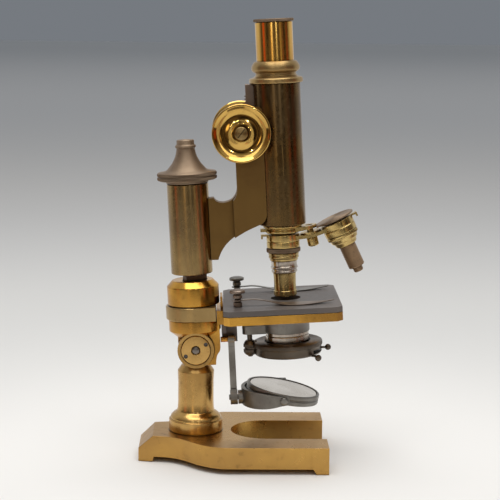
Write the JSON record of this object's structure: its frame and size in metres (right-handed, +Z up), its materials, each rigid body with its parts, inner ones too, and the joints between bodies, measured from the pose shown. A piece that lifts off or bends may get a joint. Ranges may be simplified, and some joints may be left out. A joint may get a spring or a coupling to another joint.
{
  "type": "compound microscope",
  "caption": "Upright brass compound microscope on a horseshoe foot, with tilting limb, focusing drums, a turning nosepiece, square stage, condenser and swinging mirror.",
  "frame": {"origin": "on the floor under the middle of the whole microscope's length and width", "axes": "+Z up, +X from the pillar towards the stage and the open end of the foot, -Y towards the near focusing knob"},
  "size_m": [0.1576, 0.099, 0.3093],
  "materials": {
    "lacquered_brass": "polished and lacquered brass, worn and tarnished in places",
    "pale_brass": "bright turned brass with the lacquer worn off",
    "brown_brass": "dull brown lacquered brass",
    "patinated_brass": "grey-brown oxidised brass, turned",
    "gunmetal": "chemically darkened brass, satin grey",
    "blackened_plate": "matt black lacquered plate",
    "nickel": "nickel plate, slightly dulled",
    "steel": "turned steel",
    "lens_glass": "clear optical glass",
    "silvered_glass": "silvered glass, slightly hazed"
  },
  "bodies": {
    "stand": {"foot": "lacquered_brass", "foot_bolt": "steel", "pillar": "lacquered_brass", "hinge_pin": "steel", "hinge_nut_near": "lacquered_brass", "hinge_nut_far": "lacquered_brass"},
    "upper": {"knuckle_drum": "lacquered_brass", "drum_top": "lacquered_brass", "prism_bar": "steel", "stage_bracket": "lacquered_brass", "stage_block": "lacquered_brass", "stage_plate": "lacquered_brass", "stage_top": "blackened_plate", "mirror_bracket": "blackened_plate", "mirror_rod": "lacquered_brass"},
    "clip_near": {"clip_post_near": "pale_brass", "clip_leaf_near": "gunmetal"},
    "clip_far": {"clip_post_far": "gunmetal", "clip_leaf_far": "gunmetal"},
    "fine_slide": {"column_sleeve": "lacquered_brass", "focus_spring": "steel", "limb": "brown_brass"},
    "micrometer": {"micrometer_head": "patinated_brass", "micrometer_screw": "steel"},
    "pinion": {"pinion_shaft": "steel", "knob_near": "lacquered_brass", "knob_far": "lacquered_brass", "knob_screw_near": "lacquered_brass", "knob_screw_far": "lacquered_brass"},
    "tube": {"body_tube": "lacquered_brass", "tube_collar": "lacquered_brass", "slide_bar": "gunmetal", "rack": "gunmetal", "nose_plate": "pale_brass", "dust_guard": "patinated_brass", "nose_pivot_screw": "lacquered_brass"},
    "draw_tube": {"draw_tube": "lacquered_brass"},
    "eyepiece": {"eyepiece": "lacquered_brass", "eye_lens": "lens_glass", "field_lens": "lens_glass"},
    "revolver": {"revolver": "pale_brass", "high_objective": "pale_brass", "high_objective_ring": "patinated_brass", "high_objective_lens": "lens_glass", "low_objective_mount": "pale_brass", "low_objective": "brown_brass"},
    "substage_slide": {"substage_post": "nickel", "post_nut": "patinated_brass"},
    "condenser": {"condenser_carrier": "gunmetal", "condenser_barrel": "nickel", "condenser_lens": "lens_glass", "iris_ring": "gunmetal"},
    "iris_lever": {"iris_lever": "gunmetal"},
    "mirror_arm": {"mirror_arm": "gunmetal"},
    "mirror_fork": {"mirror_fork": "gunmetal", "mirror_pin_near": "gunmetal", "mirror_pin_far": "gunmetal"},
    "mirror": {"mirror_cell": "patinated_brass", "mirror_plane": "silvered_glass", "mirror_concave": "silvered_glass"}
  },
  "joints": [
    {"name": "inclination_hinge", "type": "hinge", "parent": "stand", "child": "upper", "pos_m": [-0.0389, 0, 0.0784], "axis": [0, -1, 0], "range_deg": [-3.24, 70]},
    {"name": "fine_focus", "type": "slide", "parent": "upper", "child": "fine_slide", "axis": [-0.0565, 0, 0.9984], "range_m": [-0.0015, 0.0015]},
    {"name": "micrometer_turn", "type": "hinge", "parent": "fine_slide", "child": "micrometer", "pos_m": [-0.04577, 0, 0.19981], "axis": [-0.0565, 0, 0.9984], "range_deg": [-1080.5, 1080.5]},
    {"name": "pinion_turn", "type": "hinge", "parent": "fine_slide", "child": "pinion", "pos_m": [-0.00868, 0, 0.23105], "axis": [0, -1, 0], "range_deg": [-21.5, 573]},
    {"name": "coarse_focus", "type": "slide", "parent": "fine_slide", "child": "tube", "axis": [-0.0565, 0, 0.9984], "range_m": [-0.0015, 0.04]},
    {"name": "draw_tube_slide", "type": "slide", "parent": "tube", "child": "draw_tube", "axis": [-0.0565, 0, 0.9984], "range_m": [-0.023, 0.03]},
    {"name": "eyepiece_lift", "type": "slide", "parent": "draw_tube", "child": "eyepiece", "axis": [-0.0565, 0, 0.9984], "range_m": [0, 0.045]},
    {"name": "revolver_turn", "type": "hinge", "parent": "tube", "child": "revolver", "pos_m": [0.01576, 0, 0.25928], "axis": [0.2477, 0, -0.9688], "range_deg": [0, 180]},
    {"name": "clip_near_swing", "type": "hinge", "parent": "upper", "child": "clip_near", "pos_m": [-0.01002, -0.0265, 0.11669], "axis": [-0.0565, 0, 0.9984], "range_deg": [-80, 20]},
    {"name": "clip_far_swing", "type": "hinge", "parent": "upper", "child": "clip_far", "pos_m": [-0.01002, 0.0265, 0.11669], "axis": [0.0565, 0, -0.9984], "range_deg": [-80, 20]},
    {"name": "condenser_focus", "type": "slide", "parent": "upper", "child": "substage_slide", "axis": [0.0565, 0, -0.9984], "range_m": [0, 0.008]},
    {"name": "condenser_swing", "type": "hinge", "parent": "substage_slide", "child": "condenser", "pos_m": [-0.00113, 0, 0.08715], "axis": [0.0565, 0, -0.9984], "range_deg": [0, 60]},
    {"name": "iris_turn", "type": "hinge", "parent": "condenser", "child": "iris_lever", "pos_m": [0.02606, 0, 0.07737], "axis": [-0.0565, 0, 0.9984], "range_deg": [-35, 35]},
    {"name": "mirror_arm_swing", "type": "hinge", "parent": "upper", "child": "mirror_arm", "pos_m": [-0.01413, -0.0034, 0.08501], "axis": [-0.9984, 0, -0.0565], "range_deg": [-16, 16]},
    {"name": "fork_turn", "type": "hinge", "parent": "mirror_arm", "child": "mirror_fork", "pos_m": [-0.01176, -0.0034, 0.04308], "axis": [0.9984, 0, 0.0565], "range_deg": [-45, 30]},
    {"name": "mirror_tilt", "type": "hinge", "parent": "mirror_fork", "child": "mirror", "pos_m": [0.0227, 0, 0.04653], "axis": [0, 1, 0], "range_deg": [-60, 180]}
  ],
  "couplings": [
    {"joint": "micrometer_turn", "follows": "fine_focus", "rad_per_m": 12566},
    {"joint": "pinion_turn", "follows": "coarse_focus", "rad_per_m": 250}
  ]
}
